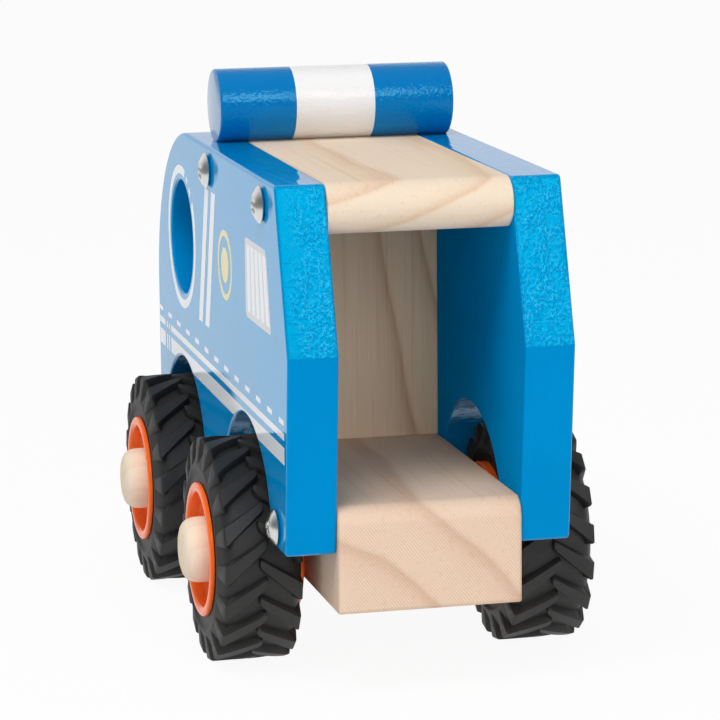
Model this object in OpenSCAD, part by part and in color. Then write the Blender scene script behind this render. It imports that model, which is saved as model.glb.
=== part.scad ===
// Wooden toy police car: two painted side panels, planks and a block between them,
// a light bar on the roof and four rubber-tyred wheels on dowel axles.
// Millimetres. X is the car's right, Y its front, Z up from the ground, origin under the middle.

/* [Side panels] */
// Length from the bend in the rear edge to the front edge
body_length = 161; // [145:1:180]
// Width over both side panels
body_width = 68; // [60:1:84]
// Thickness of a side panel
panel_t = 12; // [9:0.5:14]
// Height of a panel's lower edge above the ground
panel_bottom = 34; // [32:0.5:37]
// Height of the flat roof above the ground
roof_top = 119; // [112:1:130]
// Height of the bend in the rear edge
bend_height = 81; // [72:1:90]
// Set-back of the top rear corner from the bend
rear_rake = 12; // [6:0.5:18]
// Set-back of the lower rear corner from the bend
rear_tuck = 4.5; // [0:0.5:6]
// Radius of the round nose
nose_r = 44; // [36:1:46]
// Diameter of the round window
window_d = 29.6; // [20:0.2:34]
// Distance of the window's centre from the front edge
window_back = 35.2; // [30:0.2:42]
// Height of the window's centre above the ground
window_height = 91.1; // [86:0.1:94]

/* [Wheel arches] */
// Space between an arch and a tyre of the same centre
arch_gap = 1.8; // [1.6:0.1:4]
// Rise of an arch's centre above the axle
arch_rise = 3.2; // [2:0.1:5]
// Shift of an arch's centre from the axle towards the other axle
arch_shift = 1.6; // [0:0.1:2]

/* [Planks and block] */
// Thickness of the roof plank
plank_t = 12; // [10:0.5:15]
// How far the round rear end of the roof plank stands out of the raked edge
plank_proud = 0.8; // [0:0.1:3]
// Thickness of the bulkhead board
bulkhead_t = 12; // [8:0.5:16]
// Distance of the bulkhead's rear face from the bend in the rear edge
bay_depth = 78; // [65:1:85]
// Height of the block's underside above the ground
block_bottom = 20; // [18:0.5:21]
// Thickness of the block
block_t = 25; // [24:0.5:28]
// Set-back of the block's ends from the panels' ends
block_inset = 2.4; // [1:0.1:4]
// Radius of the block's upper end edges
block_top_r = 4.5; // [2:0.5:6]
// Radius of the block's other end edges
block_edge_r = 1.6; // [1:0.1:3]

/* [Light bar] */
// Diameter of the light bar
bar_d = 18.5; // [14:0.5:22]
// Length of the light bar
bar_length = 60; // [44:1:60]
// Distance of the light bar's axis from the bend in the rear edge
bar_place = 100; // [95:1:105]
// Depth of the flat on which the light bar sits
bar_flat = 0.4; // [0.2:0.1:1]
// Chamfer at the light bar's ends
bar_chamfer = 0.6; // [0.3:0.1:1.5]
// Diameter of the dowel pins in the light bar
pin_d = 5; // [4:0.5:6]
// Length of a dowel pin, half of it in the plank
pin_length = 16; // [12:0.5:18]
// Space between the two dowel pins
pin_spacing = 24; // [18:1:30]

/* [Axles and hub caps] */
// Distance of the rear axle from the bend in the rear edge
rear_axle_place = 46.4; // [45:0.1:52]
// Distance of the front axle from the front edge
front_axle_back = 33.1; // [32.5:0.1:38]
// Diameter of an axle dowel
axle_d = 8; // [6:0.5:9]
// Radial clearance between a rim and its axle
run_clear = 0.08; // [0.05:0.01:0.1]
// Side play between a rim and the block or the cap
side_play = 0.4; // [0.35:0.05:1]
// Diameter of a hub cap
cap_d = 15.8; // [13:0.1:17]
// Length of a hub cap
cap_length = 14.4; // [11:0.1:17]
// Radius of a hub cap's outer edge
cap_round = 3; // [1:0.1:4]
// Depth of the hole for the axle in a hub cap
cap_socket = 10; // [7:0.5:10]

/* [Rims] */
// Width of a rim over all
rim_w = 24.2; // [23:0.1:27]
// Radius of the outer lip
lip_r = 16.2; // [15.8:0.1:17]
// Width of the outer lip
lip_w = 1; // [0.6:0.1:1.5]
// Radius of the inner flange
flange_r = 17; // [16:0.1:18]
// Width of the inner flange
flange_w = 2.2; // [1.5:0.1:2.4]
// Radius of the seat under the tyre
seat_r = 15; // [14.6:0.1:15.2]
// Radius of the dish at its mouth
dish_r = 13.8; // [13.2:0.1:14]
// Depth of the dish
dish_depth = 10.6; // [9:0.1:12]
// Depth at which the dish narrows
ledge_depth = 3.2; // [2.5:0.1:6]
// Radius of the dish inside the ledge
ledge_r = 11.8; // [11.4:0.1:12.6]
// Radius of the dish's floor
floor_r = 10.6; // [10:0.1:11.2]
// Thickness of the rim's web
web_t = 4; // [3:0.1:5]
// Radius of the rim's inner boss
boss_r = 9; // [7:0.1:10]

/* [Tyres] */
// Diameter of a tyre over its lugs
wheel_d = 54; // [53:0.5:55]
// Width of the tyre's casing
casing_w = 20.4; // [19:0.1:20.8]
// Height of the lugs on the tread
lug_h = 1.9; // [1:0.1:2.4]
// Radius of the sidewall's ring, where the lugs start
side_ring_r = 20; // [19:0.1:21]
// Space between the tyre's bead and the rim's lip
bead_gap = 0.2; // [0.1:0.05:0.4]
// Lugs in one of the two rows
lug_count = 18; // [12:1:18]
// Circumferential sweep of a lug from its tip to the shoulder
lug_sweep = 7.5; // [4:0.1:9]
// Width of a lug at its tip
lug_tip_w = 2.9; // [2:0.1:3.2]
// Width of a lug at the shoulder
lug_root_w = 4.9; // [3.5:0.1:5.3]
// Reach of a lug's tip past the tyre's middle plane
lug_overlap = 1; // [0.2:0.1:1.2]
// Turn of the front left tyre on its rim
front_left_turn = 6.5; // [0:0.5:20]
// Turn of the front right tyre on its rim
front_right_turn = 15.5; // [0:0.5:20]
// Turn of the rear left tyre on its rim
rear_left_turn = 15.5; // [0:0.5:20]
// Turn of the rear right tyre on its rim
rear_right_turn = 6; // [0:0.5:20]

/* [Screws] */
// Diameter of a screw's dome head
head_d = 8.8; // [7:0.1:9.5]
// Height of a screw's dome head
head_h = 2.5; // [2:0.1:2.8]
// Height of the straight edge of a screw's head
head_edge = 0.4; // [0.2:0.1:0.6]
// Diameter of a screw's shank
shank_d = 3.6; // [3:0.1:4]
// Length of a screw below its head
screw_length = 26; // [22:0.5:28]
// Length of a screw's point
point_length = 4; // [2:0.5:5]
// Width of a screw's cross recess
recess_w = 1; // [0.6:0.1:1.3]
// Length of a screw's cross recess
recess_length = 4.4; // [3:0.1:5]
// Depth of a screw's cross recess
recess_depth = 1.3; // [0.8:0.1:1.4]
// Distance of the rear roof screw from the bend in the rear edge
roof_screw_rear = 25.5; // [22:0.1:28]
// Distance of the front roof screw from the bend in the rear edge
roof_screw_front = 89.2; // [86:0.1:92]
// Distance of the floor screw from the bend in the rear edge
floor_screw_place = 14; // [12:0.1:15]
// Height of the floor screw above the ground
floor_screw_height = 39; // [38.6:0.1:40]

/* [Hidden] */
$fn = 96;
overrun = 1;
rear = -body_length / 2;
front = body_length / 2;
half_w = body_width / 2;
inner = half_w - panel_t;
wheel_r = wheel_d / 2;
axle_z = wheel_r;
rear_axle_y = rear + rear_axle_place;
front_axle_y = front - front_axle_back;
arch_r = wheel_r + arch_gap;
arch_z = axle_z + arch_rise;
plank_bottom = roof_top - plank_t;
plank_mid = roof_top - plank_t / 2;
rake_share = (plank_mid - bend_height) / (roof_top - bend_height);
plank_rear = rear + rear_rake * rake_share - plank_proud;
plank_front = front - nose_r;
block_top = block_bottom + block_t;
bar_y = rear + bar_place;
bar_z = roof_top + bar_d / 2 - bar_flat;
rim_in = inner + side_play;
rim_out = rim_in + rim_w;
dish_floor = rim_out - dish_depth;
cap_in = dish_floor + side_play;
cap_out = cap_in + cap_length;
axle_end = cap_in + cap_socket;
casing_r = wheel_r - lug_h;
casing_half = casing_w / 2;
// Casing outline: shares of its height from seat to tread, shares of its half width
casing_height_shares = [0, 0.4, 0.45, 0.54, 0.62, 0.76, 0.88, 0.96, 1, 1];
casing_width_shares = [0.94, 0.94, 1, 1, 0.95, 0.9, 0.83, 0.73, 0.55, 0];
casing_mid = rim_out - lip_w - bead_gap - casing_half * casing_width_shares[0];
dome_h = head_h - head_edge;
head_sphere_r = (head_d * head_d / 4 + dome_h * dome_h) / (2 * dome_h);
roof_screws = [[rear + roof_screw_rear, plank_mid], [rear + roof_screw_front, plank_mid]];
side_screws = [each roof_screws, [rear + floor_screw_place, floor_screw_height]];

// Lug envelope: shares of its height from the sidewall's ring to the lug tops
lug_height_shares = [0, 0.94, 1];
lug_width_shares = [0.985, 0.92, 0.88];
lug_root_share = 0.84;
tip_nose_share = 0.25;

paint_blue = [0.02, 0.35, 0.68];
pine = [0.86, 0.74, 0.58];
beech = [0.9, 0.78, 0.62];
orange = [0.95, 0.3, 0.05];
rubber_black = [0.06, 0.06, 0.06];
steel = [0.75, 0.75, 0.76];

// A side-view outline, drawn as Y and Z, given a thickness along X from x_start
module side_view(x_start, thickness) {
  translate([x_start, 0, 0]) rotate([90, 0, 90]) linear_extrude(thickness) children();
}

// A turned shape, drawn as radius and distance along X
module turned_on_x() {
  rotate([0, 90, 0]) rotate_extrude() children();
}

// A round rod or hole along X
module rod_x(x_start, x_end, diameter) {
  translate([x_start, 0, 0]) rotate([0, 90, 0]) cylinder(d = diameter, h = x_end - x_start);
}

// The waste outside a rounded corner whose point is the origin, material towards +x and +y
module corner_waste(radius) {
  difference() {
    translate([-overrun, -overrun]) square(radius + overrun);
    translate([radius, radius]) circle(radius);
  }
}

module left_of_car() {
  mirror([1, 0, 0]) children();
}

module panel_outline() {
  difference() {
    polygon([
      [rear + rear_tuck, panel_bottom], [rear, bend_height], [rear + rear_rake, roof_top],
      [front, roof_top], [front, panel_bottom]
    ]);
    translate([front, roof_top]) rotate(180) corner_waste(nose_r);
    translate([front - window_back, window_height]) circle(d = window_d);
    translate([rear_axle_y + arch_shift, arch_z]) circle(arch_r);
    translate([front_axle_y - arch_shift, arch_z]) circle(arch_r);
  }
}

module side_panel() {
  color(paint_blue) difference() {
    side_view(inner, panel_t) panel_outline();
    for (at = side_screws)
      translate([0, at[0], at[1]]) rod_x(inner - overrun, half_w + overrun, shank_d);
  }
}

module left_side_panel() {
  left_of_car() side_panel();
}

module right_side_panel() {
  side_panel();
}

module screw_holes(places) {
  for (at = places, side = [0, 1]) mirror([side, 0, 0])
    translate([0, at[0], at[1]]) turned_on_x() shank_outline();
}

module roof_plank() {
  color(pine) difference() {
    side_view(-inner, 2 * inner) {
      translate([plank_rear + plank_t / 2, plank_bottom])
        square([plank_front - plank_rear - plank_t, plank_t]);
      for (y = [plank_rear + plank_t / 2, plank_front - plank_t / 2])
        translate([y, plank_mid]) circle(d = plank_t);
    }
    screw_holes(roof_screws);
    light_bar_pins();
  }
}

module bulkhead_board() {
  color(pine) translate([-inner, rear + bay_depth, block_top])
    cube([2 * inner, bulkhead_t, plank_bottom - block_top]);
}

module block_outline() {
  block_rear = rear + block_inset;
  block_front = front - block_inset;
  difference() {
    translate([block_rear, block_bottom]) square([block_front - block_rear, block_t]);
    for (end = [0, 1]) mirror([end, 0]) {
      translate([block_rear, block_bottom]) corner_waste(block_edge_r);
      translate([block_rear, block_top]) mirror([0, 1]) corner_waste(block_top_r);
    }
  }
}

module chassis_block() {
  color(pine) difference() {
    side_view(-inner, 2 * inner) block_outline();
    for (x = [0, 1], y = [0, 1]) mirror([x, 0, 0]) mirror([0, y, 0])
      translate([-inner, rear + block_inset, block_bottom - overrun])
        linear_extrude(block_t + 2 * overrun) corner_waste(block_edge_r);
    for (y = [rear_axle_y, front_axle_y])
      translate([0, y, axle_z]) rod_x(-inner - overrun, inner + overrun, axle_d);
    screw_holes([side_screws[2]]);
  }
}

module light_bar() {
  color(paint_blue) difference() {
    translate([0, bar_y, bar_z]) turned_on_x() polygon([
      [0, -bar_length / 2], [bar_d / 2 - bar_chamfer, -bar_length / 2],
      [bar_d / 2, bar_chamfer - bar_length / 2], [bar_d / 2, bar_length / 2 - bar_chamfer],
      [bar_d / 2 - bar_chamfer, bar_length / 2], [0, bar_length / 2]
    ]);
    translate([-bar_length, bar_y - bar_d, roof_top - bar_d]) cube([2 * bar_length, 2 * bar_d, bar_d]);
    light_bar_pins();
  }
}

module light_bar_pins() {
  color(beech) for (side = [-1, 1])
    translate([side * pin_spacing / 2, bar_y, roof_top - pin_length / 2]) cylinder(d = pin_d, h = pin_length);
}

// The shank and point of one screw in the right panel
module shank_outline() {
  polygon([
    [0, half_w - screw_length], [shank_d / 2, half_w - screw_length + point_length],
    [shank_d / 2, half_w], [0, half_w]
  ]);
}

module screw() {
  difference() {
    turned_on_x() {
      shank_outline();
      translate([0, half_w]) square([head_d / 2, head_edge]);
      intersection() {
        translate([0, half_w + head_h - head_sphere_r]) circle(head_sphere_r);
        translate([0, half_w + head_edge]) square(head_d);
      }
    }
    for (turn = [0, 90]) rotate([turn, 0, 0])
      translate([half_w + head_h - recess_depth, -recess_length / 2, -recess_w / 2])
        cube([recess_depth + overrun, recess_length, recess_w]);
  }
}

module screws() {
  color(steel) for (at = side_screws) translate([0, at[0], at[1]]) screw();
}

module left_screws() {
  left_of_car() screws();
}

module right_screws() {
  screws();
}

module axle(y) {
  color(beech) translate([0, y, axle_z]) rod_x(-axle_end, axle_end, axle_d);
}

module front_axle() {
  axle(front_axle_y);
}

module rear_axle() {
  axle(rear_axle_y);
}

module hub_cap(y) {
  color(beech) translate([0, y, axle_z]) difference() {
    turned_on_x() difference() {
      translate([0, cap_in]) square([cap_d / 2, cap_length]);
      translate([cap_d / 2, cap_out]) rotate(180) corner_waste(cap_round);
    }
    rod_x(cap_in - overrun, axle_end, axle_d);
  }
}

module front_left_cap() {
  left_of_car() hub_cap(front_axle_y);
}

module front_right_cap() {
  hub_cap(front_axle_y);
}

module rear_left_cap() {
  left_of_car() hub_cap(rear_axle_y);
}

module rear_right_cap() {
  hub_cap(rear_axle_y);
}

module rim(y) {
  bore_r = axle_d / 2 + run_clear;
  casing_in = casing_mid - casing_half * casing_width_shares[0];
  color(orange) translate([0, y, axle_z]) turned_on_x() polygon([
    [bore_r, rim_in], [boss_r, rim_in], [boss_r, dish_floor - web_t], [floor_r, dish_floor - web_t],
    [dish_r, casing_in], [dish_r, casing_in - flange_w], [flange_r, casing_in - flange_w],
    [flange_r, casing_in], [seat_r, casing_in], [seat_r, rim_out - lip_w],
    [lip_r, rim_out - lip_w], [lip_r, rim_out - lip_w / 2], [lip_r - lip_w / 2, rim_out],
    [dish_r + lip_w / 2, rim_out], [dish_r, rim_out - lip_w / 2], [dish_r, rim_out - ledge_depth],
    [ledge_r, rim_out - ledge_depth], [floor_r, dish_floor], [bore_r, dish_floor]
  ]);
}

module front_left_rim() {
  left_of_car() rim(front_axle_y);
}

module front_right_rim() {
  rim(front_axle_y);
}

module rear_left_rim() {
  left_of_car() rim(rear_axle_y);
}

module rear_right_rim() {
  rim(rear_axle_y);
}

// One half of a closed outline whose radii and half widths are lists of shares
function shell_points(r_start, r_end, half, height_shares, width_shares, side) = [
  for (i = [0 : len(height_shares) - 1])
    [r_start + (r_end - r_start) * height_shares[i], side * half * width_shares[i]]
];

function reversed(points) = [for (i = [len(points) - 1 : -1 : 0]) points[i]];

module casing() {
  rotate_extrude() polygon(concat(
    shell_points(seat_r, casing_r, casing_half, casing_height_shares, casing_width_shares, -1),
    reversed(shell_points(seat_r, casing_r, casing_half, casing_height_shares, casing_width_shares, 1))
  ));
}

module lug_envelope() {
  rotate_extrude() polygon(concat(
    shell_points(side_ring_r, wheel_r, casing_half, lug_height_shares, lug_width_shares, -1),
    reversed(shell_points(side_ring_r, wheel_r, casing_half, lug_height_shares, lug_width_shares, 1))
  ));
}

module lug_prism() {
  tip = -lug_overlap;
  shoulder = casing_half * lug_root_share;
  nose = lug_tip_w * tip_nose_share;
  depth = wheel_r - side_ring_r + 2 * overrun;
  translate([side_ring_r - overrun, 0, 0]) rotate([90, 0, 90]) linear_extrude(depth)
    polygon([
      [-nose, tip], [nose, tip], [lug_tip_w / 2, tip + nose],
      [lug_sweep + lug_root_w / 2, shoulder], [lug_sweep + lug_root_w / 2, casing_half + overrun],
      [lug_sweep - lug_root_w / 2, casing_half + overrun], [lug_sweep - lug_root_w / 2, shoulder],
      [-lug_tip_w / 2, tip + nose]
    ]);
}

module tyre(y, turn) {
  pitch = 360 / lug_count;
  color(rubber_black) translate([casing_mid, y, axle_z]) rotate([0, 90, 0]) rotate(turn) {
    casing();
    intersection() {
      lug_envelope();
      for (i = [0 : lug_count - 1]) {
        rotate(i * pitch) lug_prism();
        rotate((i + 1 / 2) * pitch) mirror([0, 0, 1]) lug_prism();
      }
    }
  }
}

module front_left_tyre() {
  left_of_car() tyre(front_axle_y, front_left_turn);
}

module front_right_tyre() {
  tyre(front_axle_y, front_right_turn);
}

module rear_left_tyre() {
  left_of_car() tyre(rear_axle_y, rear_left_turn);
}

module rear_right_tyre() {
  tyre(rear_axle_y, rear_right_turn);
}

left_side_panel();
right_side_panel();
roof_plank();
bulkhead_board();
chassis_block();
light_bar();
light_bar_pins();
left_screws();
right_screws();
front_axle();
rear_axle();
front_left_cap();
front_right_cap();
rear_left_cap();
rear_right_cap();
front_left_rim();
front_right_rim();
rear_left_rim();
rear_right_rim();
front_left_tyre();
front_right_tyre();
rear_left_tyre();
rear_right_tyre();
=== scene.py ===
import math
import bmesh
import bpy
from mathutils import Matrix, Vector


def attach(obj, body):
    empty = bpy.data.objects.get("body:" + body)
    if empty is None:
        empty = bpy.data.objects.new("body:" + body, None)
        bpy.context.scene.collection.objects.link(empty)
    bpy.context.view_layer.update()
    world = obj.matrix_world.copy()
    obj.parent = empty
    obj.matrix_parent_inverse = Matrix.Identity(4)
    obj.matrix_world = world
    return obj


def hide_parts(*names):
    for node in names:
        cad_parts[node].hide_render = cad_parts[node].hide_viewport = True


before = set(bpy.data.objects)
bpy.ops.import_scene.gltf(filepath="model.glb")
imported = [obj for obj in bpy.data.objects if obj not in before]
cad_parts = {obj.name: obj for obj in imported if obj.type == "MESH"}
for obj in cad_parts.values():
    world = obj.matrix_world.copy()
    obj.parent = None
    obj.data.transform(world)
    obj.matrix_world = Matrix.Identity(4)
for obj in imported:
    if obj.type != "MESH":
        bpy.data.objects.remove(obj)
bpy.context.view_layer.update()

# Chassis block: one planed length of pine with both axles through it, and the floor of
# the bay. The ends are sanded round at the top; the panels are screwed to its sides.
mm = 0.001
axis_across, axis_along, axis_up = 0, 1, 2
board_half = 22.0
block_end, block_low, block_top = 78.1, 20.0, 45.0
block_low_round, block_top_round = 1.2, 4.5
block_ease, block_end_ease = 0.4, 0.8


def put(tree, kind, sockets=None, **settings):
    """Adds a node; a socket takes a value or another node's output."""
    made = tree.nodes.new(kind)
    for key, value in settings.items():
        setattr(made, key, value)
    for name, value in (sockets or {}).items():
        if isinstance(value, bpy.types.NodeSocket):
            tree.links.new(value, made.inputs[name])
        else:
            made.inputs[name].default_value = value
    return made


def sums(tree, operation, first, second=0.0, third=0.0):
    """One step of arithmetic; MULTIPLY_ADD is the first times the second plus the third."""
    sockets = {0: first, 1: second, 2: third}
    return put(tree, "ShaderNodeMath", sockets, operation=operation).outputs[0]


def vectors(tree, operation, first, second=(0, 0, 0), result="Vector"):
    """One step of arithmetic on places and directions."""
    sockets = {0: first, 1: second}
    return put(tree, "ShaderNodeVectorMath", sockets, operation=operation).outputs[result]


def blended(tree, share, first, second, how="MIX"):
    """Two colours, the first at share 0 and the second at share 1."""
    share_in, first_in, second_in, colour_out = 0, 6, 7, 2
    sockets = {share_in: share, first_in: first, second_in: second}
    mixed = put(tree, "ShaderNodeMix", sockets, data_type="RGBA", blend_type=how)
    return mixed.outputs[colour_out]


def ramped(tree, value, stops):
    """A grey ramp over a value, with stops of (place, shade)."""
    ramp = put(tree, "ShaderNodeValToRGB", {0: value})
    elements = ramp.color_ramp.elements
    while len(elements) < len(stops):
        elements.new(0.5)
    for element, (place, shade) in zip(elements, stops):
        element.position = place
        element.color = (shade, shade, shade, 1)
    return ramp.outputs[0]


def millimetres(tree):
    """Places on the piece, in millimetres."""
    sockets = {0: put(tree, "ShaderNodeTexCoord").outputs["Object"], "Scale": 1 / mm}
    return put(tree, "ShaderNodeVectorMath", sockets, operation="SCALE").outputs[0]


def stretched(tree, place, scales):
    return vectors(tree, "MULTIPLY", place, scales)


def speckle(tree, place, scale, detail=2.0, rough=0.5):
    """Soft noise; scale is in waves per millimetre."""
    sockets = {"Vector": place, "Scale": scale, "Detail": detail, "Roughness": rough}
    return put(tree, "ShaderNodeTexNoise", sockets).outputs[0]


def drawn_out(tree, place, along, across_rate, along_rate, detail, rough=0.5):
    """Noise drawn out along one axis, with its own waves per millimetre across and along it."""
    rates = [across_rate] * 3
    rates[along] = along_rate
    return speckle(tree, stretched(tree, place, rates), 1.0, detail, rough)


def finish_named(name):
    finish = bpy.data.materials.new(name)
    finish.use_nodes = True
    return finish, finish.node_tree, finish.node_tree.nodes["Principled BSDF"]


def lay_on(tree, shader, colour, uneven, spread, least, height=None, strength=1.0, depth=0.0):
    """Gives a finish its colour, a roughness of least plus spread times uneven, and a relief of
    some depth in millimetres."""
    tree.links.new(colour, shader.inputs["Base Color"])
    tree.links.new(sums(tree, "MULTIPLY_ADD", uneven, spread, least), shader.inputs["Roughness"])
    if height is not None:
        sockets = {"Height": height, "Strength": strength, "Distance": depth * mm}
        relief = put(tree, "ShaderNodeBump", sockets)
        tree.links.new(relief.outputs[0], shader.inputs["Normal"])


def bare_wood(
    name, along, pith, ring_gap, ring_place, early, late, saw_lines=None, figure=1.0, lean=(0, 0, 0)
):
    """Bare wood: soft growth rings about a pith line, fibres and reddish streaks along one axis,
    darker pores, and fine saw lines, given as (direction, gap, depth), on the sawn ends."""
    ring_sway, ring_share, fibre_share, streak_share = 7.0, 0.65, 0.45, 0.25
    late_wood = [(0.0, 0.25), (0.06, 0.0), (0.5, 0.05), (0.78, 0.3), (0.95, 0.9), (1.0, 0.3)]
    reddish = [(0.58, 0.0), (0.74, 1.0)]
    dark_pores = [(0.0, 0.85), (0.34, 0.96), (0.48, 1.0), (1.0, 1.0)]
    finish, tree, shader = finish_named(name)
    place = millimetres(tree)
    grain = [0.0] * 3
    grain[along] = 1.0
    trunk = (Vector(grain) + Vector(lean)).normalized()
    off_trunk = vectors(tree, "CROSS_PRODUCT", vectors(tree, "SUBTRACT", place, pith), trunk)
    radius = vectors(tree, "LENGTH", off_trunk, result="Value")
    sway = drawn_out(tree, place, along, across_rate=0.03, along_rate=0.011, detail=2.0)
    sway = sums(tree, "SUBTRACT", sway, 0.5)
    swayed = sums(tree, "MULTIPLY_ADD", sway, ring_sway, sums(tree, "SUBTRACT", radius, ring_place))
    ring = sums(tree, "FRACT", sums(tree, "DIVIDE", swayed, ring_gap))
    fibres = drawn_out(tree, place, along, across_rate=1.7, along_rate=0.03, detail=4.0, rough=0.65)
    streaks = drawn_out(tree, place, along, across_rate=0.75, along_rate=0.012, detail=2.0)
    pores = drawn_out(tree, place, along, across_rate=5.0, along_rate=0.1, detail=3.0, rough=0.6)
    share = sums(tree, "MULTIPLY", ramped(tree, ring, late_wood), ring_share * figure)
    centred = sums(tree, "SUBTRACT", fibres, 0.5)
    share = sums(tree, "MULTIPLY_ADD", centred, fibre_share * figure, share)
    share = sums(tree, "MULTIPLY_ADD", ramped(tree, streaks, reddish), streak_share * figure, share)
    share = put(tree, "ShaderNodeClamp", {0: share}).outputs[0]
    colour = blended(tree, share, early, late)
    colour = blended(tree, 1.0, colour, ramped(tree, pores, dark_pores), "MULTIPLY")
    height = pores
    if saw_lines:
        direction, gap, depth = saw_lines
        line_wander, line_height = 5.0, 0.25
        normal = put(tree, "ShaderNodeNewGeometry").outputs["True Normal"]
        facing_end = sums(tree, "ABSOLUTE", vectors(tree, "DOT_PRODUCT", normal, grain, "Value"))
        on_end = ramped(tree, facing_end, [(0.9, 0.0), (0.995, 1.0)])
        wander = speckle(tree, place, 0.12, 2.0)
        waves = [part * 2 * math.pi / gap for part in direction]
        lines = vectors(tree, "DOT_PRODUCT", place, waves, "Value")
        lines = sums(tree, "SINE", sums(tree, "MULTIPLY_ADD", wander, line_wander, lines))
        patchy = ramped(tree, speckle(tree, place, 0.22, 3.0), [(0.34, 0.1), (0.56, 1.0)])
        cut_lines = sums(tree, "MULTIPLY", sums(tree, "MULTIPLY", lines, patchy), on_end)
        dark_lines = sums(tree, "MULTIPLY_ADD", cut_lines, depth, depth)
        colour = blended(tree, dark_lines, colour, late)
        height = sums(tree, "MULTIPLY_ADD", cut_lines, line_height, pores)
    lay_on(
        tree, shader, colour, fibres, spread=0.2, least=0.65, height=height, strength=0.3, depth=0.12
    )
    shader.inputs["Specular IOR Level"].default_value = 0.15
    return finish


def show(piece, body, slot, *nodes):
    """Puts a finished piece in the scene, on its body, in place of its CAD nodes."""
    bpy.context.scene.collection.objects.link(piece)
    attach(piece, body)
    if nodes:
        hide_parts(*nodes)


def mark(work, x, y, z):
    """A point of a mesh, given in millimetres."""
    return work.verts.new((x * mm, y * mm, z * mm))


def close_up(work, mesh):
    """Turns every face outward and writes the work into its mesh."""
    bmesh.ops.recalc_face_normals(work, faces=work.faces)
    work.to_mesh(mesh)
    work.free()


def rounded_outline(corners):
    """A closed outline of (y, z) from corners of (y, z, radius); each sharp one gets an arc."""
    least_turn, large_radius, few_steps, more_steps = 0.2, 2, 6, 14
    loop = []
    for i, (y, z, radius) in enumerate(corners):
        here = Vector((y, z))
        arriving = (here - Vector(corners[i - 1][:2])).normalized()
        leaving = (Vector(corners[(i + 1) % len(corners)][:2]) - here).normalized()
        turn = arriving.angle(leaving)
        if turn < least_turn:
            loop.append((y, z))
            continue
        start = here - arriving * radius * math.tan(turn / 2)
        inward = (leaving - arriving * math.cos(turn)) / math.sin(turn)
        steps = few_steps if radius < large_radius else more_steps
        for k in range(steps + 1):
            t = turn * k / steps
            onward = arriving * math.sin(t) + inward * (1 - math.cos(t))
            loop.append(tuple(start + radius * onward))
    return loop


def planed_board(name, ends, heights, rounds, finish, ease, end_ease=0.0):
    """A board across the car between two ends and two heights, with one round for its low and
    one for its top corners. The ease of its side edges grows by end_ease towards the ends."""
    (rear, front), (low, top), (low_round, top_round) = ends, heights, rounds
    loop = rounded_outline([
        (rear, low, low_round), (front, low, low_round), (front, top, top_round), (rear, top, top_round)
    ])
    quarter = [math.radians(turn) for turn in (0, 30, 60, 90)]
    mesh = bpy.data.meshes.new(name)
    work = bmesh.new()
    rings = []
    for side, turns in ((-1, quarter[::-1]), (1, quarter)):
        for turn in turns:
            ring = []
            for i, (y, z) in enumerate(loop):
                run = (Vector(loop[(i + 1) % len(loop)]) - Vector(loop[i - 1])).normalized()
                eased_by = ease + end_ease * abs(run.y)
                inset = eased_by * (1 - math.cos(turn))
                x = side * (board_half - eased_by + eased_by * math.sin(turn))
                ring.append(mark(work, x, y - run.y * inset, z + run.x * inset))
            rings.append(ring)
    for first, second in zip(rings, rings[1:]):
        for i in range(len(loop)):
            work.faces.new((first[i - 1], first[i], second[i], second[i - 1]))
    work.faces.new(rings[0])
    work.faces.new(rings[-1])
    close_up(work, mesh)
    mesh.materials.append(finish)
    mesh.polygons.foreach_set("use_smooth", [True] * len(mesh.polygons))
    piece = bpy.data.objects.new(name, mesh)
    piece.modifiers.new("flat faces stay flat", "WEIGHTED_NORMAL")
    return piece


saw_direction, saw_gap, saw_depth = (0.79, 0.0, 0.61), 0.6, 0.27
block_pine = bare_wood(
    "pine_block", axis_along, pith=(-56.4, 0.0, -44.0), ring_gap=15.3, ring_place=-1.6,
    early=(0.85, 0.67, 0.51, 1), late=(0.57, 0.35, 0.23, 1),
    saw_lines=(saw_direction, saw_gap, saw_depth), lean=(0.046, 0, 0),
)
block = planed_board(
    "chassis_block_wood", (-block_end, block_end), (block_low, block_top),
    (block_low_round, block_top_round), block_pine, block_ease, block_end_ease,
)
show(block, "car", "pine", "chassis_block")

# Bulkhead: a pine board across the car that closes the rear bay towards the cab. Its
# grain stands upright; it is glued between the block, the roof plank and the panels.
bulkhead_rear, bulkhead_t, roof_under = -2.5, 12.0, 107.0
bulkhead_round, board_ease = 0.3, 0.3
bulkhead_pine = bare_wood(
    "pine_bulkhead", axis_up, pith=(9.0, 25.0, 0.0), ring_gap=6.8, ring_place=5.1,
    early=(0.78, 0.59, 0.41, 1), late=(0.42, 0.22, 0.11, 1), lean=(-0.19, 0, 0),
)
bulkhead = planed_board(
    "bulkhead_board_wood", (bulkhead_rear, bulkhead_rear + bulkhead_t), (block_top, roof_under),
    (bulkhead_round, bulkhead_round), bulkhead_pine, board_ease,
)
show(bulkhead, "car", "pine", "bulkhead_board")

# Roof plank: pine, let in flush between the tops of the panels, with both ends rounded
# over in a half circle. Two screws through each panel hold it.
plank_rear, plank_front, plank_round, roof_top = -71.2, 36.5, 5.9, 119.0
plank_pine = bare_wood(
    "pine_plank", axis_along, pith=(-50.0, 0.0, 260.0), ring_gap=9.1, ring_place=3.0,
    early=(0.81, 0.67, 0.53, 1), late=(0.62, 0.37, 0.20, 1), figure=0.8,
)
plank = planed_board(
    "roof_plank_wood", (plank_rear, plank_front), (roof_under, roof_top),
    (plank_round, plank_round), plank_pine, board_ease,
)
show(plank, "car", "pine", "roof_plank")

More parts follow.
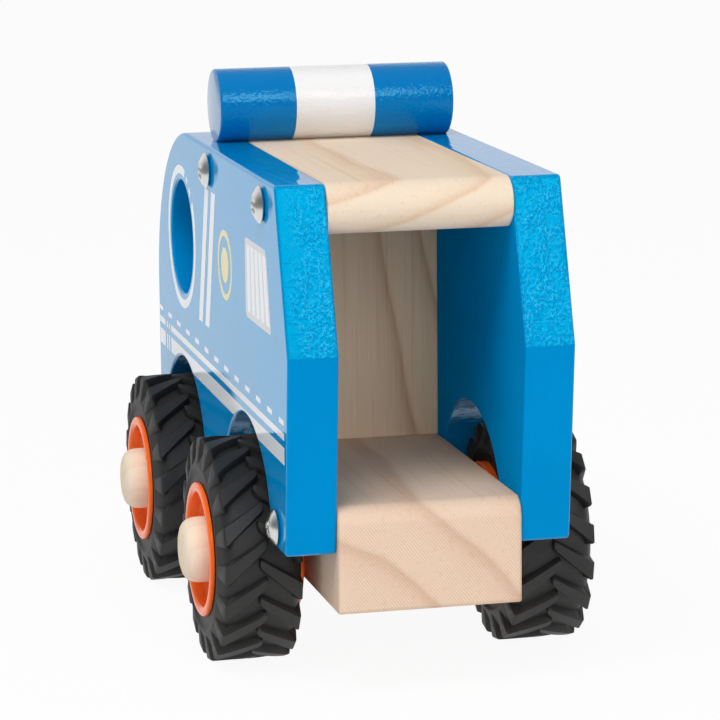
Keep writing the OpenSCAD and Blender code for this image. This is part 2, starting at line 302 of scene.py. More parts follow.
# Side panels: boards sawn to the car's outline with a round window and two wheel arches,
# edges eased with sandpaper, then sprayed with thick blue gloss that wrinkles on end grain.
sides = ((-1, "left"), (1, "right"))
panel_rear, panel_front, panel_low = -80.5, 80.5, 34.0
panel_outer, panel_t, eased, corner_round = 34.0, 12.0, 0.7, 1.3
bend_height, rake, tuck, nose = 81.0, 12.0, 4.5, 44.0
window_at, window_r = (45.3, 91.1), 14.8
wheel_y = {"front": 47.4, "rear": -34.1}
arch_shift, arch_z, arch_r = 1.6, 30.2, 28.8
arch_at = [(wheel_y["rear"] + arch_shift, arch_z), (wheel_y["front"] - arch_shift, arch_z)]
arch_steps, nose_steps, window_steps = 40, 60, 96


def arc(centre, radius, start, end, steps):
    """Points of (y, z) round a centre, from one angle to another in degrees."""
    turns = [math.radians(start + (end - start) * i / steps) for i in range(steps + 1)]
    return [(centre[0] + radius * math.cos(t), centre[1] + radius * math.sin(t)) for t in turns]


def arch_arc(centre):
    """A wheel arch, from the panel's lower edge up, over and down to it again."""
    lift = math.degrees(math.asin((panel_low - centre[1]) / arch_r))
    return arc(centre, arch_r, 180 - lift, lift, arch_steps)


def ranged(tree, value, start, end, at_start, at_end):
    """Goes from at_start to at_end as the value goes from start to end, and stays so outside."""
    sockets = {"Value": value, 1: start, 2: end, 3: at_start, 4: at_end}
    return put(tree, "ShaderNodeMapRange", sockets).outputs[0]


def gloss_paint(
    name, colour, ripple, peel=0.35, sag=0.0, pebble=0.0, gloss=0.5, mirror_tint=(0.0, 0.6, 1.0, 1)
):
    """Thick gloss over wood: an even colour under a smooth skin that mirrors most at a slant, with fine
    ripples, dimples and slow sags, and pebbles where end grain has drunk the paint, ringed with pale
    blue painted glints."""
    finish, tree, shader = finish_named(name)
    place = millimetres(tree)
    ripples = drawn_out(tree, place, axis_across, across_rate=1.5, along_rate=0.12, detail=3.0)
    dimples = speckle(tree, place, 1.3, 2.0)
    height = sums(tree, "MULTIPLY", ripples, ripple)
    height = sums(tree, "MULTIPLY_ADD", dimples, ripple * peel, height)
    if sag:
        waves = drawn_out(tree, place, axis_along, across_rate=0.7, along_rate=0.12, detail=1.0)
        height = sums(tree, "MULTIPLY_ADD", waves, sag, height)
    if pebble:
        smooth_side, drunk_side, edge_wander = -31.5, -28.0, 4.0
        glint_blue = (0.07, 0.52, 0.82, 1)
        across = put(tree, "ShaderNodeSeparateXYZ", {0: place}).outputs["X"]
        ragged = sums(tree, "MULTIPLY_ADD", speckle(tree, place, 0.25, 2.0), edge_wander, across)
        patches = speckle(tree, stretched(tree, place, (0.3, 0.2, 0.12)), 1.0, 2.0)
        patches = ramped(tree, patches, [(0.36, 0.3), (0.6, 1.0)])
        drunk = sums(tree, "MULTIPLY", ranged(tree, ragged, smooth_side, drunk_side, 0.0, 1.0), patches)
        pebbles = speckle(tree, stretched(tree, place, (1.0, 1.0, 0.8)), 1.15, 1.0, 0.45)
        height = sums(tree, "MULTIPLY_ADD", sums(tree, "MULTIPLY", pebbles, drunk), pebble, height)
        # Pale blue lines round the pebbles are painted glints: highlight colour mixed into the paint, on
        # top of the real relief.
        painted_glints = ramped(tree, pebbles, [(0.47, 0.0), (0.54, 0.45), (0.6, 0.0)])
        colour = blended(tree, sums(tree, "MULTIPLY", painted_glints, drunk), colour, glint_blue)
    cloud = speckle(tree, place, 0.06, 2.0)
    shade = ramped(tree, cloud, [(0.3, 0.94), (0.7, 1.0)])
    colour = blended(tree, 1.0, colour, shade, "MULTIPLY")
    lay_on(
        tree, shader, colour, cloud, spread=0.04, least=0.015, height=height, strength=1.0, depth=0.5
    )
    shader.inputs["IOR"].default_value = 1.5
    shader.inputs["Specular IOR Level"].default_value = gloss
    shader.inputs["Specular Tint"].default_value = mirror_tint
    return finish


# The four panel paints are one blue paint. Their base colours differ by face direction as painted light
# and shade: the outer flats are lightest, the inside is a little darker, and the edges and sloping rear
# faces are darker still.
flat_paint = gloss_paint(
    "blue_gloss_on_flats", (0.0, 0.315, 0.725, 1), ripple=0.012, sag=0.04,
    mirror_tint=(0.1, 1.0, 0.6, 1),
)
inner_paint = gloss_paint("blue_inside_no_gloss_painted_darker", (0.0, 0.30, 0.68, 1), ripple=0.012, gloss=0.0)
edge_paint = gloss_paint("blue_gloss_on_edges", (0.0, 0.248, 0.595, 1), ripple=0.05, sag=0.15)
rough_paint = gloss_paint(
    "blue_gloss_on_end_grain", (0.0, 0.268, 0.565, 1), ripple=0.05, pebble=0.42, gloss=0.35,
    mirror_tint=(0.0, 0.8, 1.0, 1),
)
panel_paints = (flat_paint, edge_paint, rough_paint, inner_paint)
on_edge, on_end_grain, on_inside = 1, 2, 3
flat_facing, slope_facing, slope_from, same_point = 0.9, 0.1, panel_rear * 0.8, 0.001

outline = [(panel_rear + tuck, panel_low)]
for centre in arch_at:
    outline += arch_arc(centre)
outline += [(panel_front, panel_low)]
outline += arc((panel_front - nose, roof_top - nose), nose, 0, 90, nose_steps)
outline += [(panel_rear + rake, roof_top), (panel_rear, bend_height)]
outline = rounded_outline([(y, z, corner_round) for y, z in outline])
window = arc(window_at, window_r, 360, 0, window_steps)[:-1]

for side, word in sides:
    sawn = bpy.data.curves.new(word + "_panel_outline", "CURVE")
    sawn.dimensions = "2D"
    sawn.fill_mode = "BOTH"
    sawn.extrude = (panel_t / 2 - eased) * mm
    sawn.bevel_depth = eased * mm
    sawn.bevel_resolution = 3
    sawn.offset = -eased * mm
    for loop in (outline, window):
        line = sawn.splines.new("POLY")
        line.points.add(len(loop) - 1)
        for corner, (y, z) in zip(line.points, loop):
            corner.co = (y * mm, z * mm, 0, 1)
        line.use_cyclic_u = True
    rough_cut = bpy.data.objects.new(word + "_panel_cut", sawn)
    bpy.context.scene.collection.objects.link(rough_cut)
    bpy.context.view_layer.update()
    cut_out = rough_cut.evaluated_get(bpy.context.evaluated_depsgraph_get())
    mesh = bpy.data.meshes.new_from_object(cut_out)
    bpy.data.objects.remove(rough_cut)
    panel_middle = side * (panel_outer - panel_t / 2) * mm
    stand_up = Matrix(((0, 0, 1, panel_middle), (1, 0, 0, 0), (0, 1, 0, 0), (0, 0, 0, 1)))
    mesh.transform(stand_up)
    work = bmesh.new()
    work.from_mesh(mesh)
    bmesh.ops.remove_doubles(work, verts=work.verts, dist=same_point * mm)
    close_up(work, mesh)
    mesh.materials.clear()
    for finish in panel_paints:
        mesh.materials.append(finish)
    for face in mesh.polygons:
        face.use_smooth = True
        facing = face.normal
        if side * facing.x < -flat_facing:
            face.material_index = on_inside
        elif abs(facing.x) < flat_facing:
            at_rear = face.center.y < slope_from * mm
            sloping_rear = at_rear and facing.z > slope_facing > facing.y
            face.material_index = on_end_grain if sloping_rear else on_edge
    panel = bpy.data.objects.new(word + "_panel_painted", mesh)
    panel.modifiers.new("flat faces stay flat", "WEIGHTED_NORMAL")
    show(panel, "car", "blue_paint", word + "_side_panel")

# Prints: thin screen-printed ink on the outer face of each panel: a broken ring round the
# window, door stripes, a plain disc in a ring, a louvre, a row of dashes and two side stripes.
ink = 0.04
line_tilt = 0.0118


def tilted(y, z):
    """Height of a lengthwise stripe, printed a little nose-up; z is its height at mid length."""
    return z + y * line_tilt


def bar(rear, front, low, high):
    """A lengthwise stripe between two ends and two heights."""
    corners = ((rear, low), (front, low), (front, high), (rear, high))
    return [(y, tilted(y, z)) for y, z in corners]


def band(centre, inner, outer, start, end):
    """A piece of a ring between two radii and two angles."""
    steps = max(4, int(abs(end - start) / 3))
    return arc(centre, outer, start, end, steps) + arc(centre, inner, end, start, steps)


def printed(name, shapes, side, finish, layer=1):
    """Closed prisms of ink on the outer face, layer by layer."""
    mesh = bpy.data.meshes.new(name)
    work = bmesh.new()
    for shape in shapes:
        low, high = [
            [mark(work, side * (panel_outer + x), y, z) for y, z in shape] for x in (-ink, ink * layer)
        ]
        work.faces.new(low)
        work.faces.new(high)
        for i in range(len(shape)):
            j = (i + 1) % len(shape)
            work.faces.new((low[i], low[j], high[j], high[i]))
    bmesh.ops.recalc_face_normals(work, faces=work.faces)
    bmesh.ops.triangulate(work, faces=[f for f in work.faces if len(f.verts) > 4])
    work.to_mesh(mesh)
    work.free()
    mesh.materials.append(finish)
    show(bpy.data.objects.new(name, mesh), "car", "blue_paint")


def ink_finish(name, colour, thin):
    """Flat screen ink with a fine halftone of thinner spots."""
    finish, tree, shader = finish_named(name)
    spots = speckle(tree, millimetres(tree), 2.2, 2.0)
    thin_spots = ramped(tree, spots, [(0.35, 0.0), (0.75, 1.0)])
    lay_on(tree, shader, blended(tree, thin_spots, colour, thin), spots, spread=0.1, least=0.08)
    shader.inputs["Specular IOR Level"].default_value = 0.4
    return finish


white_ink = ink_finish("white_ink", (0.88, 0.92, 0.95, 1), (0.82, 0.86, 0.90, 1))
grey_ink = ink_finish("pale_grey_ink", (0.66, 0.67, 0.69, 1), (0.60, 0.62, 0.65, 1))
yellow_ink = ink_finish("yellow_ink", (0.84, 0.74, 0.26, 1), (0.78, 0.70, 0.32, 1))

ring_in, ring_out, ring_start, ring_end = 16.5, 18.7, 144, 467
short_in, short_out, short_pieces = ring_in + 0.5, ring_out - 0.4, ((114, 120.5), (128, 135.5))
window_ring = [band(window_at, ring_in, ring_out, ring_start, ring_end)]
window_ring += [band(window_at, short_in, short_out, start, end) for start, end in short_pieces]
door_low, door_high = 72.9, 108.1
door_stripes = [
    [(18.8, door_low), (23.6, door_low), (13.1, door_high), (8.4, door_high)],
    [(10.1, door_low), (15.2, door_low), (4.9, door_high), (0.2, door_high)],
]
dash_first, dash_pitch, dash_half, dash_count = 77.0, 12.5, 2.5, 13
dash_low, dash_high = 65.7, 66.9
dashes = []
for i in range(dash_count):
    y = dash_first - dash_pitch * i
    dashes.append(bar(y - dash_half, y + dash_half, dash_low, dash_high))
thin_low, thin_high, thick_low, thick_high = 62.3, 63.9, 56.55, 60.6
breaks = [(71.6, 79.0), (68.0, 69.4), (65.1, 66.5)]
stripe_rear, stripe_front, stripe_steps, arch_margin = -75.7, 63.2, 140, 0.75
thin_stripe = [bar(r, f, thin_low, thin_high) for r, f in breaks + [(stripe_rear, stripe_front)]]
thick_stripe = [bar(r, f, thick_low, thick_high) for r, f in breaks]


def over_arches(y, z):
    """The lower edge of the thick stripe, lifted where an arch is cut into it."""
    reach = arch_r + arch_margin
    for centre_y, centre_z in arch_at:
        if abs(y - centre_y) < reach:
            z = max(z, centre_z + math.sqrt(reach * reach - (y - centre_y) ** 2))
    return z


stripe_length = stripe_front - stripe_rear
along_stripe = [stripe_rear + stripe_length * i / stripe_steps for i in range(stripe_steps + 1)]
lower_edge = [(y, over_arches(y, tilted(y, thick_low))) for y in along_stripe]
upper_edge = [(y, tilted(y, thick_high)) for y in reversed(along_stripe)]
thick_stripe.append(lower_edge + upper_edge)
vent_low, vent_high, vent_front = 83.6, 102.75, -35.3
vent_rear_low, vent_rear_high = -63.2, -59.0
vent = [
    (vent_rear_low + 0.6, vent_low), (vent_front - 1.2, vent_low), (vent_front, vent_low + 1.2),
    (vent_front, vent_high - 0.8), (vent_front - 0.8, vent_high), (vent_rear_high + 1.6, vent_high),
    (vent_rear_high, vent_high - 1.6), (vent_rear_low, vent_low + 0.8),
]
slat_count, slat_half, slat_low, slat_high, slat_margin = 5, 1.55, 85.2, 101.2, 1.5
slat_rear_low, slat_rear_high = vent_rear_low + 2.2, vent_rear_high + 2.0
slats = []
for i in range(slat_count):
    share = (i + 0.5) / slat_count
    top_y = vent_front - slat_margin + (slat_rear_high - vent_front) * share
    low_y = vent_front - slat_margin + (slat_rear_low - vent_front) * share
    slats.append([
        (low_y - slat_half, slat_low), (low_y + slat_half, slat_low),
        (top_y + slat_half, slat_high), (top_y - slat_half, slat_high),
    ])
disc_at, disc_r, disc_steps = (-10.8, 92.1), 4.4, 48
disc_ring_out, disc_ring_width = 8.65, 1.5
disc_ring_in = disc_ring_out - disc_ring_width
disc_ring = [band(disc_at, disc_ring_in, disc_ring_out, turn, turn + 180) for turn in (0, 180)]
disc = [arc(disc_at, disc_r, 0, 360, disc_steps)[:-1]]
white_prints = window_ring + door_stripes + dashes + thin_stripe + thick_stripe
for side, word in sides:
    printed(word + "_white_prints", white_prints, side, white_ink)
    printed(word + "_louvre_ground", [vent], side, grey_ink)
    printed(word + "_louvre_slats", slats, side, white_ink, layer=2)
    printed(word + "_disc_print", disc_ring + disc, side, yellow_ink)

# Screws: zinc-plated steel with a domed head and a cross recess, two through each panel into
# the roof plank and one into the block. The head is pressed from wire, the thread is hidden.
zinc, tree, shader = finish_named("zinc_plate")
place = millimetres(tree)
tarnish = speckle(tree, place, 0.9, 4.0, 0.6)
scratches = speckle(tree, stretched(tree, place, (3.0, 9.0, 1.2)), 1.0, 3.0)
lay_on(
    tree, shader, blended(tree, tarnish, (0.66, 0.66, 0.64, 1), (0.76, 0.76, 0.74, 1)), tarnish,
    spread=0.2, least=0.14, height=scratches, strength=0.1, depth=0.03,
)
shader.inputs["Metallic"].default_value = 1.0
screw_places = [(-55.0, 113.0), (8.7, 113.0), (-66.5, 39.0)]
head_r, head_h, head_edge, head_steps = 4.4, 2.5, 0.7, 96
shank_r, shank_end, point, point_r = 1.8, 26.0, 4.0, 0.15
recess_reach, recess_half, recess_deep, recess_wall, recess_tip = 2.3, 0.5, 0.7, 0.22, 0.9
head_radii = [0.12 * i for i in range(1, 26)] + [3.2, 3.5, 3.8, 4.05, 4.25, 4.36, head_r]
under_head = [
    (head_r - 0.05, 0.6), (head_r - 0.35, 0.35), (head_r - 0.9, 0.0),
    (shank_r, 0.0), (shank_r, point - shank_end), (point_r, -shank_end),
]


def head_height(a, b):
    """Height of the head over the panel at a and b from its axis: a dome with a pressed cross."""
    r = math.hypot(a, b)
    ball = (head_r * head_r + (head_h - head_edge) ** 2) / (2 * (head_h - head_edge))
    dome = head_edge + math.sqrt(max(0.0, ball * ball - r * r)) - (ball - head_h + head_edge)
    into = 0.0
    slant, other = (a + b) / math.sqrt(2), (a - b) / math.sqrt(2)
    for lengthwise, sideways in ((slant, other), (other, slant)):
        wall = min(1.0, max(0.0, (recess_half - abs(sideways)) / recess_wall + 0.5))
        tip = min(1.0, max(0.0, (recess_reach - abs(lengthwise)) / recess_tip))
        into = max(into, wall * tip)
    return dome - recess_deep * into


def smooth(mesh, sharp_over):
    """Shades a mesh smooth, apart from edges sharper than an angle in degrees."""
    mesh.polygons.foreach_set("use_smooth", [True] * len(mesh.polygons))
    mesh.set_sharp_from_angle(angle=math.radians(sharp_over))


for side, word in sides:
    mesh = bpy.data.meshes.new(word + "_screws_plated")
    work = bmesh.new()
    for at_y, at_z in screw_places:
        top = mark(work, side * (panel_outer + head_height(0, 0)), at_y, at_z)
        rings = []
        for r, height in [(r, None) for r in head_radii] + under_head:
            ring = []
            for i in range(head_steps):
                t = 2 * math.pi * i / head_steps
                a, b = r * math.cos(t), r * math.sin(t)
                x = panel_outer + (head_height(a, b) if height is None else height)
                ring.append(mark(work, side * x, at_y + a, at_z + b))
            rings.append(ring)
        for i in range(head_steps):
            j = (i + 1) % head_steps
            work.faces.new((top, rings[0][i], rings[0][j]))
            for first, second in zip(rings, rings[1:]):
                work.faces.new((first[i], second[i], second[j], first[j]))
        work.faces.new(rings[-1])
    close_up(work, mesh)
    mesh.materials.append(zinc)
    smooth(mesh, sharp_over=50)
    show(bpy.data.objects.new(word + "_screws_plated", mesh), "car", "screw_steel", word + "_screws")

# Light bar: a length of round rod, glossy blue at both ends with a white band masked off
# in the middle. A narrow flat sits on the roof, and two hidden dowel pins hold it.
bar_y, bar_r, bar_half, bar_flat, bar_ease, bar_steps = 19.5, 9.25, 30.0, 0.4, 0.6, 160
white_left, white_right = -10.7, 9.5
bar_z = roof_top + bar_r - bar_flat


def turned(name, profile, at, finishes, steps, side=1, finish_of=None, flat_below=None):
    """Turns a profile of (radius, x) about the X axis through at; side -1 mirrors it. A profile
    that starts off the axis closes on itself, finish_of picks the finish of each strip, and
    what lies below flat_below is flattened up to it."""
    mesh = bpy.data.meshes.new(name)
    work = bmesh.new()
    rings = []
    for radius, x in profile:
        if radius == 0:
            rings.append([mark(work, side * x, *at)] * steps)
            continue
        ring = []
        for i in range(steps):
            turn = 2 * math.pi * i / steps
            y, z = at[0] + radius * math.cos(turn), at[1] + radius * math.sin(turn)
            ring.append(mark(work, side * x, y, z))
        rings.append(ring)
    closed = profile[0][0] > 0
    for k in range(len(profile) if closed else len(profile) - 1):
        first, second = rings[k], rings[(k + 1) % len(profile)]
        for i in range(steps):
            j = (i + 1) % steps
            corners = list(dict.fromkeys((first[i], first[j], second[j], second[i])))
            face = work.faces.new(corners)
            face.material_index = finish_of(k) if finish_of else 0
    if flat_below is not None:
        for corner in work.verts:
            corner.co.z = max(corner.co.z, flat_below * mm)
    close_up(work, mesh)
    for finish in finishes:
        mesh.materials.append(finish)
    smooth(mesh, sharp_over=32)
    return bpy.data.objects.new(name, mesh)


def eased_end(x, radius, ease):
    """The eased edge of a rod that ends at x, from its end face to its side."""
    turns = [math.radians(turn) for turn in (0, 20, 45, 70, 90)]
    return [(radius - ease + ease * math.sin(t), x - ease + ease * math.cos(t)) for t in turns]


bar_end = eased_end(bar_half, bar_r, bar_ease)
bar_profile = [(0, -bar_half)] + [(r, -x) for r, x in bar_end]
white_strip = len(bar_profile)
bar_profile += [(bar_r, white_left), (bar_r, white_right)] + bar_end[::-1] + [(0, bar_half)]
end_strips = (0, len(bar_profile) - 2)
clear = (1, 1, 1, 1)
bar_blue = gloss_paint(
    "blue_gloss_on_rod", (0.0, 0.175, 0.485, 1), ripple=0.06, peel=5.0, mirror_tint=(0.28, 0.85, 0.9, 1)
)
bar_white = gloss_paint(
    "white_gloss_on_rod", (0.83, 0.83, 0.83, 1), ripple=0.05, peel=5.0, gloss=0.2, mirror_tint=clear
)
# The rod's end faces get a paler, greyer blue than the rod. This is painted light that stands for the
# white sheen seen on the ends.
bar_end_blue_painted_light = gloss_paint(
    "blue_on_rod_end_painted_light", (0.19, 0.37, 0.62, 1), ripple=0.02, mirror_tint=clear
)
light_bar = turned(
    "light_bar_painted", bar_profile, (bar_y, bar_z), (bar_blue, bar_white, bar_end_blue_painted_light), bar_steps,
    finish_of=lambda k: 1 if k == white_strip else (2 if k in end_strips else 0), flat_below=roof_top,
)
show(light_bar, "car", "bar_paint", "light_bar")

# Axles, pins and hub caps: beech dowels. The axles are fixed in the block, and a turned
# cap with a rounded end is glued on each axle end to keep the wheel on.
beech = bare_wood(
    "beech_dowel", axis_across, pith=(0.0, 70.0, 60.0), ring_gap=5.0, ring_place=1.0,
    early=(0.875, 0.745, 0.585, 1), late=(0.775, 0.585, 0.425, 1), figure=0.6,
)
for name in ("front_axle", "rear_axle", "light_bar_pins"):
    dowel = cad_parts[name]
    dowel.data.materials.clear()
    dowel.data.materials.append(beech)
axle_z = 27.0
wheel_places = [
    (end + "_" + word, (wheel_y[end], axle_z), side) for end in ("front", "rear") for side, word in sides
]
cap_in, cap_out, cap_r, cap_steps = 36.4, 50.8, 7.9, 96
socket_r, socket_end = 4.0, 46.4
cap_profile = [
    (0, socket_end), (socket_r, socket_end), (socket_r, cap_in), (cap_r - 0.3, cap_in),
    (cap_r, cap_in + 0.3), (cap_r, cap_out - 4.4),
    (cap_r - 0.05, cap_out - 3.6), (cap_r - 0.2, cap_out - 2.7), (cap_r - 0.55, cap_out - 1.85),
    (cap_r - 1.1, cap_out - 1.15), (cap_r - 1.9, cap_out - 0.62), (cap_r - 2.9, cap_out - 0.3),
    (cap_r - 4.6, cap_out - 0.12), (cap_r - 6.4, cap_out - 0.03), (0, cap_out),
]
for name, at, side in wheel_places:
    cap = turned(name + "_cap_wood", cap_profile, at, (beech,), cap_steps, side)
    show(cap, "car", "cap_wood", name + "_cap")

# Rims: orange plastic mouldings with a rolled outer lip, a stepped dish and an inner
# flange. They turn freely on the axles between the block and the caps.
orange, tree, shader = finish_named("orange_moulded_plastic")
place = millimetres(tree)
flow = speckle(tree, place, 0.25, 2.0)
grain = speckle(tree, place, 3.0, 2.0)
lay_on(
    tree, shader, blended(tree, flow, (1.0, 0.13, 0.01, 1), (1.0, 0.16, 0.016, 1)), grain,
    spread=0.12, least=0.14, height=grain, strength=0.08, depth=0.1,
)
shader.inputs["Specular IOR Level"].default_value = 0.4
shader.inputs["Specular Tint"].default_value = (1.0, 0.6, 0.35, 1)
rim_in, flange_in, tyre_in, dish_floor, lip_in, rim_out = 22.4, 24.0, 26.2, 36.0, 45.6, 46.6
bore_r, hub_r, barrel_r, seat_r, lip_r, flange_r = 4.08, 9.0, 13.8, 15.0, 16.2, 17.0
rim_steps = 128
rim_profile = [
    (bore_r, rim_in), (8.6, rim_in), (hub_r, rim_in + 0.4), (hub_r, 31.6), (9.4, 32.0), (10.6, 32.0),
    (barrel_r, tyre_in), (barrel_r, 24.3), (14.1, flange_in), (16.6, flange_in), (flange_r, 24.4),
    (flange_r, tyre_in), (seat_r, tyre_in), (seat_r, lip_in), (lip_r, lip_in), (lip_r, 46.0),
    (16.08, 46.33), (15.75, 46.56), (15.3, rim_out), (14.8, rim_out), (14.3, 46.54), (13.97, 46.3),
    (barrel_r, 45.9), (13.72, 43.9), (13.6, 43.6), (13.35, 43.42), (13.0, 43.4), (12.4, 43.4),
    (12.05, 43.3), (11.82, 43.0), (11.7, 42.4), (10.75, 36.6), (10.5, 36.15), (10.0, dish_floor),
    (bore_r, dish_floor),
]
for name, at, side in wheel_places:
    rim = turned(name + "_rim_moulded", rim_profile, at, (orange,), rim_steps, side)
    show(rim, name + "_wheel", "orange_plastic", name + "_rim")

# Tyres: soft black rubber, stretched over the rims. Two rows of slanted lugs with round
# tips meet at the middle, half a pitch apart, and run over the shoulder onto the sidewall.
rubber, tree, shader = finish_named("tyre_rubber_matt")
place = millimetres(tree)
bloom = speckle(tree, place, 0.18, 4.0, 0.6)
dust = speckle(tree, place, 2.5, 3.0, 0.6)
black = blended(tree, bloom, (0.0095, 0.009, 0.0085, 1), (0.020, 0.019, 0.018, 1))
dust_specks = ramped(tree, dust, [(0.62, 0.0), (0.72, 0.45)])
dusty_black = blended(tree, dust_specks, black, (0.075, 0.072, 0.068, 1))
lay_on(
    tree, shader, dusty_black, dust, spread=0.25, least=0.45, height=dust, strength=0.15, depth=0.15
)
tyre_r, casing_mid, casing_steps, lug_count = 27.0, 35.81, 144, 18
tyre_turn = {"front_left": 6.5, "front_right": 15.5, "rear_left": 15.5, "rear_right": 6.0}
half_casing = [
    (seat_r, 9.59), (16.4, 9.62), (17.6, 9.5), (18.6, 9.5), (19.1, 9.62), (19.4, 9.9), (19.65, 10.12),
    (20.0, 10.2), (20.35, 10.15), (20.8, 9.95), (21.4, 9.66), (22.2, 9.35), (23.0, 9.0), (23.8, 8.5),
    (24.4, 7.85), (24.8, 7.0), (25.0, 6.1), (25.1, 4.8), (25.1, 0.0),
]
casing = [(r, casing_mid - a) for r, a in half_casing]
casing += [(r, casing_mid + a) for r, a in half_casing[-2::-1]]
# One lug, station by station from its tip: axial place and radius of its top, the same of
# its buried root, circumferential place and half width.
lug_overlap, lug_bend, lug_sweep, lug_steps = 1.0, 8.6, 7.2, 8
lug_run = lug_bend + lug_overlap
tip_run, tip_half, tip_root_r = 1.4, 1.46, 24.4
widening, body_root_r, root_reach, shoulder_sweep = 0.99, 24.3, 7.4, 0.2
lug_tip = (
    (0.0, 0.5, 0.5), (0.14, 0.18, 0.9), (0.4, 0.04, 1.18), (0.8, 0.0, 1.36), (tip_run, 0.0, tip_half)
)
lug_shoulder = (
    (8.95, 26.93, 7.5, 24.0, 2.45), (9.2, 26.7, 7.7, 23.8, 2.44), (9.33, 26.3, 7.9, 23.6, 2.42),
    (9.5, 25.2, 8.1, 23.2, 2.3), (9.66, 23.9, 8.5, 22.6, 2.15), (9.82, 22.6, 8.9, 21.9, 2.0),
    (9.96, 21.4, 9.2, 21.2, 1.85), (10.05, 20.5, 9.5, 20.5, 1.7),
)
lug_stations = []
for run, drop, half in lug_tip:
    a = run - lug_overlap
    lug_stations.append((a, tyre_r - drop, a, tip_root_r, lug_sweep * run / lug_run, half))
for i in range(1, lug_steps + 1):
    run = tip_run + (lug_run - tip_run) * i / lug_steps
    a, half = run - lug_overlap, tip_half + widening * i / lug_steps
    lug_stations.append((a, tyre_r, min(a, root_reach), body_root_r, lug_sweep * run / lug_run, half))
for a, top_r, root_a, root_r, half in lug_shoulder:
    lug_stations.append((a, top_r, root_a, root_r, lug_sweep + shoulder_sweep, half))


def add_lug(work, at, side, row, turn):
    """One closed lug of a row; its section has drafted flanks and eased top corners."""
    draft, corner, corner_share = 0.5, 0.32, 0.84
    loops = []
    for a, top_r, root_a, root_r, sweep, half in lug_stations:
        flank = [(0, half + draft), (corner_share, half), (1, half - corner)]
        section = []
        for share, across in [(s, -b) for s, b in flank] + flank[::-1]:
            radius = root_r + (top_r - root_r) * share
            axial = casing_mid + row * (root_a + (a - root_a) * share)
            angle = turn + (sweep + across) / tyre_r
            y, z = at[0] + radius * math.cos(angle), at[1] + radius * math.sin(angle)
            section.append(mark(work, side * axial, y, z))
        loops.append(section)
    for first, second in zip(loops, loops[1:]):
        for i in range(len(first)):
            j = (i + 1) % len(first)
            work.faces.new((first[i], first[j], second[j], second[i]))
    work.faces.new(loops[0])
    work.faces.new(loops[-1])


for name, at, side in wheel_places:
    tyre = turned(name + "_tyre_rubber", casing, at, (rubber,), casing_steps, side)
    work = bmesh.new()
    work.from_mesh(tyre.data)
    for i in range(lug_count):
        for row, shift in ((1, 0.0), (-1, 0.5)):
            turn = math.radians(270 + tyre_turn[name] + 360 * (i + shift) / lug_count)
            add_lug(work, at, side, row, turn)
    close_up(work, tyre.data)
    smooth(tyre.data, sharp_over=38)
    show(tyre, name + "_wheel", "tyre_rubber", name + "_tyre")

# Studio: a wide white floor, a soft key overhead and a little to the left, a softbox behind
# the camera, and a strip above it that only gloss mirrors. The surround is a little brighter
# on the left; gloss sees it darken behind the camera and, like the floor, far out on the left.
floor_half, floor_white, floor_glow = 6.0, (0.9, 0.9, 0.9, 1), 0.93
far_left, near_left, far_dimming = -0.55, -0.4, -0.75
floor_mesh = bpy.data.meshes.new("studio_floor")
work = bmesh.new()
bmesh.ops.create_grid(work, x_segments=1, y_segments=1, size=floor_half)
work.to_mesh(floor_mesh)
work.free()
floor = bpy.data.objects.new("studio_floor", floor_mesh)
bpy.context.scene.collection.objects.link(floor)
white_floor, tree, shader = finish_named("studio_white")
shader.inputs["Base Color"].default_value = floor_white
shader.inputs["Roughness"].default_value = 0.9
path = put(tree, "ShaderNodeLightPath")
seen = sums(tree, "MAXIMUM", path.outputs["Is Camera Ray"], path.outputs["Is Glossy Ray"])
seen = sums(tree, "MAXIMUM", seen, path.outputs["Is Transmission Ray"])
floor_place = put(tree, "ShaderNodeTexCoord").outputs["Object"]
across = put(tree, "ShaderNodeSeparateXYZ", {0: floor_place}).outputs["X"]
dimming = ranged(tree, across, far_left, near_left, far_dimming, 0.0)
glow_level = sums(tree, "MULTIPLY_ADD", path.outputs["Is Glossy Ray"], dimming, 1.0)
glow = put(tree, "ShaderNodeEmission", {"Color": (1, 1, 1, 1), "Strength": glow_level})
glow_share = sums(tree, "MULTIPLY", seen, floor_glow)
shown_white = {0: glow_share, 1: shader.outputs[0], 2: glow.outputs[0]}
seen_white = put(tree, "ShaderNodeMixShader", shown_white)
tree.links.new(seen_white.outputs[0], tree.nodes["Material Output"].inputs["Surface"])
floor_mesh.materials.append(white_floor)

wall_dark, wall_bright, fill_level, fill_to_right = -0.3, 0.5, 0.42, -0.1
world = bpy.data.worlds.new("studio_surround")
bpy.context.scene.world = world
world.use_nodes = True
tree = world.node_tree
path = put(tree, "ShaderNodeLightPath")
seen = sums(tree, "MAXIMUM", path.outputs["Is Camera Ray"], path.outputs["Is Transmission Ray"])
outward = put(tree, "ShaderNodeTexCoord").outputs["Generated"]
heading = put(tree, "ShaderNodeSeparateXYZ", {0: outward})
behind = ranged(tree, heading.outputs["Y"], -0.85, -0.15, wall_dark, wall_bright)
beside = ranged(tree, heading.outputs["X"], -0.95, -0.6, wall_dark, wall_bright)
above = ranged(tree, heading.outputs["Z"], 0.35, 0.75, wall_bright, 0.0)
walls = sums(tree, "MINIMUM", above, sums(tree, "MINIMUM", behind, beside))
fill = sums(tree, "MULTIPLY_ADD", heading.outputs["X"], fill_to_right, fill_level)
brightness = sums(tree, "MULTIPLY_ADD", seen, sums(tree, "SUBTRACT", 1.0, fill), fill)
brightness = sums(tree, "MULTIPLY_ADD", path.outputs["Is Glossy Ray"], walls, brightness)
tree.nodes["Background"].inputs["Color"].default_value = (1, 1, 1, 1)
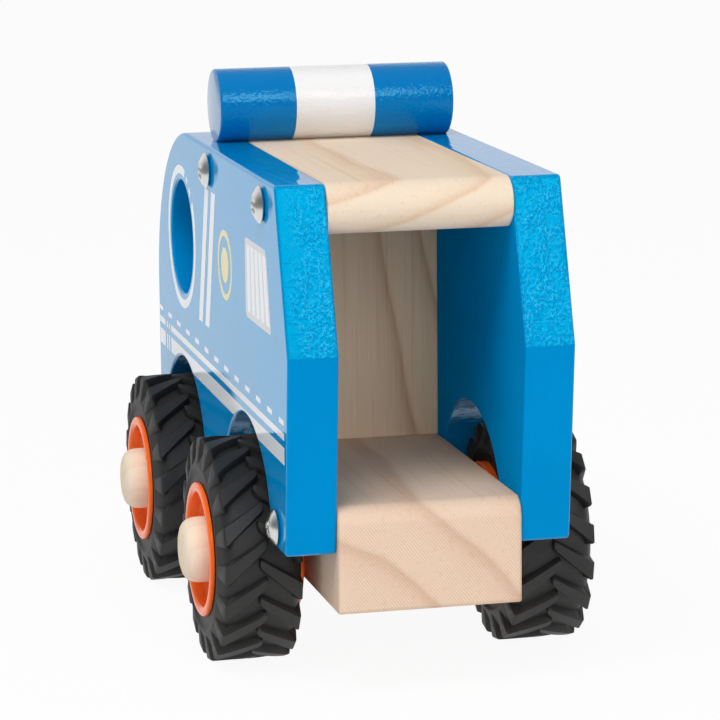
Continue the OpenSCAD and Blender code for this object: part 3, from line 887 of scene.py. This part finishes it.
tree.links.new(brightness, tree.nodes["Background"].inputs["Strength"])


def soft_light(name, place, target, width, height, power, mirrored, lights):
    """A rectangular light; mirrored says if gloss shows it, lights if it lights matt faces."""
    lamp = bpy.data.lights.new(name, "AREA")
    lamp.shape = "RECTANGLE"
    lamp.size, lamp.size_y = width, height
    lamp.energy = power
    holder = bpy.data.objects.new(name, lamp)
    holder.location = place
    holder.visible_glossy = mirrored
    holder.visible_diffuse = lights
    holder.rotation_euler = (Vector(target) - Vector(place)).to_track_quat("-Z", "Y").to_euler()
    bpy.context.scene.collection.objects.link(holder)


soft_light(
    "key_overhead", place=(-0.44, -0.52, 1.25), target=(0, 0, 0.06), width=0.7, height=0.7,
    power=10.2, mirrored=False, lights=True,
)
soft_light(
    "softbox_behind_camera", place=(0.15, -1.6, 0.5), target=(0, 0, 0.08), width=1.1, height=0.9,
    power=8.0, mirrored=False, lights=True,
)
soft_light(
    "strip_above_camera", place=(0.1, -1.5, 0.97), target=(0, 0, 0.1), width=1.2, height=0.55,
    power=11.5, mirrored=True, lights=False,
)

# Camera: low behind the car and to its left, with a long lens, tipped a little down and
# turned by a hair about its own axis.
camera_place = (-0.19538, -0.81308, 0.22179)
yaw, pitch, roll = 0.23861, 0.1857, -0.00945
camera_data = bpy.data.cameras.new("photo_camera")
camera_data.sensor_width = 36.0
camera_data.lens = 169.2
camera_data.clip_end = 50.0
camera = bpy.data.objects.new("photo_camera", camera_data)
ahead = Vector((math.sin(yaw) * math.cos(pitch), math.cos(yaw) * math.cos(pitch), -math.sin(pitch)))
level = Vector((math.cos(yaw), -math.sin(yaw), 0))
upright = level.cross(ahead)
rightward = level * math.cos(roll) + upright * math.sin(roll)
upward = upright * math.cos(roll) - level * math.sin(roll)
camera_turn = Matrix((rightward, upward, -ahead)).transposed().to_4x4()
camera.matrix_world = Matrix.Translation(camera_place) @ camera_turn
bpy.context.scene.collection.objects.link(camera)
bpy.context.scene.camera = camera
bpy.context.scene.view_settings.view_transform = "Standard"
